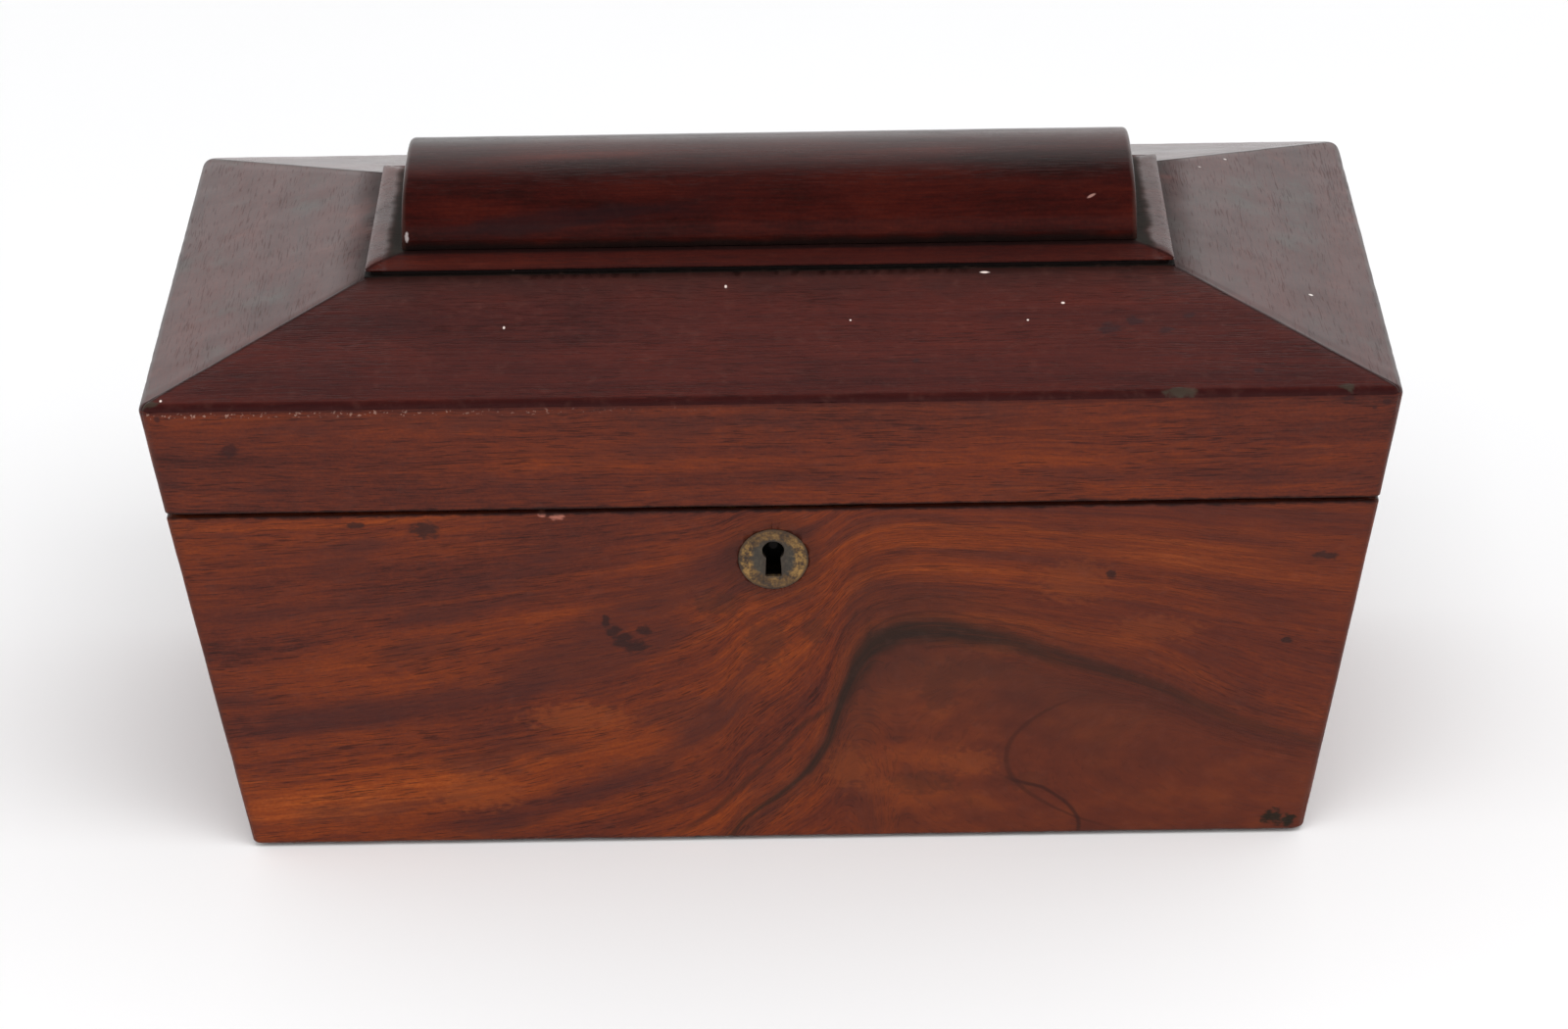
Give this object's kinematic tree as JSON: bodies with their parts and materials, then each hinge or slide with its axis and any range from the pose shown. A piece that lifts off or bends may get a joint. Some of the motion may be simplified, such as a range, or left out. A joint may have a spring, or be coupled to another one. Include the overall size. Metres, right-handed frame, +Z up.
{
  "type": "tea caddy",
  "caption": "Sarcophagus-shaped wooden tea caddy with a hinged lid, a lock, lift-out lidded canisters and a glass mixing bowl.",
  "frame": {"origin": "centre of the footprint, on the surface the caddy stands on", "axes": "+X to the caddy's right seen from the front along its longest side, +Y to the back where the hinges are, +Z up"},
  "size_m": [0.31, 0.186, 0.1621],
  "materials": {
    "mahogany": "french polished",
    "dark_mahogany": "french polished",
    "carcase_wood": "bare",
    "interior_mahogany": "satin",
    "brass": "aged",
    "steel": "dull",
    "foil": "tarnished lead foil",
    "velvet": "pile",
    "baize": "felted",
    "bone": "turned bone, satin",
    "glass": "clear, cut"
  },
  "bodies": {
    "carcase": {"base_baize": "baize", "base_board": "carcase_wood", "front_board": "mahogany", "back_board": "mahogany", "left_end_board": "mahogany", "right_end_board": "mahogany", "left_partition": "interior_mahogany", "right_partition": "interior_mahogany", "bowl_collar_board": "interior_mahogany", "bowl_pad": "velvet", "escutcheon": "brass", "lock_plate": "brass", "lock_cap": "brass", "key_pin": "steel", "bolt_spring": "steel", "left_hinge_body_leaf": "brass", "right_hinge_body_leaf": "brass", "hinge_pins": "steel", "carcase_screws": "brass"},
    "lid": {"lid_front_rim": "mahogany", "lid_back_rim": "mahogany", "lid_left_rim": "mahogany", "lid_right_rim": "mahogany", "roof_board_front": "carcase_wood", "roof_board_back": "carcase_wood", "roof_board_left": "carcase_wood", "roof_board_right": "carcase_wood", "roof_veneer_front": "dark_mahogany", "roof_veneer_back": "dark_mahogany", "roof_veneer_left": "dark_mahogany", "roof_veneer_right": "dark_mahogany", "crown_board": "carcase_wood", "plinth": "dark_mahogany", "bolster": "dark_mahogany", "lid_panel": "carcase_wood", "lid_pad": "velvet", "link_plate": "brass", "left_hinge_lid_leaf": "brass", "right_hinge_lid_leaf": "brass", "lid_screws": "brass"},
    "lock_bolt": {"lock_bolt": "steel"},
    "left_canister": {"left_canister_front": "interior_mahogany", "left_canister_back": "interior_mahogany", "left_canister_outer": "interior_mahogany", "left_canister_inner": "interior_mahogany", "left_canister_bottom": "interior_mahogany", "left_canister_foil": "foil"},
    "left_canister_lid": {"left_canister_lid": "interior_mahogany", "left_knob": "bone"},
    "right_canister": {"right_canister_front": "interior_mahogany", "right_canister_back": "interior_mahogany", "right_canister_outer": "interior_mahogany", "right_canister_inner": "interior_mahogany", "right_canister_bottom": "interior_mahogany", "right_canister_foil": "foil"},
    "right_canister_lid": {"right_canister_lid": "interior_mahogany", "right_knob": "bone"},
    "bowl": {"mixing_bowl": "glass"}
  },
  "joints": [
    {"name": "lid_hinge", "type": "hinge", "parent": "carcase", "child": "lid", "pos_m": [0, 0.08899, 0.0985], "axis": [-1, 0, 0], "range_deg": [0, 95]},
    {"name": "bolt_slide", "type": "slide", "parent": "carcase", "child": "lock_bolt", "axis": [1, 0, 0], "range_m": [0, 0.0035]},
    {"name": "left_canister_lift", "type": "slide", "parent": "carcase", "child": "left_canister", "axis": [0, 0, 1], "range_m": [0, 0.014]},
    {"name": "right_canister_lift", "type": "slide", "parent": "carcase", "child": "right_canister", "axis": [0, 0, 1], "range_m": [0, 0.014]},
    {"name": "left_canister_lid_lift", "type": "slide", "parent": "left_canister", "child": "left_canister_lid", "axis": [0, 0, 1], "range_m": [0, 0.011]},
    {"name": "right_canister_lid_lift", "type": "slide", "parent": "right_canister", "child": "right_canister_lid", "axis": [0, 0, 1], "range_m": [0, 0.011]},
    {"name": "bowl_lift", "type": "slide", "parent": "carcase", "child": "bowl", "axis": [0, 0, 1], "range_m": [0, 0.028]}
  ]
}
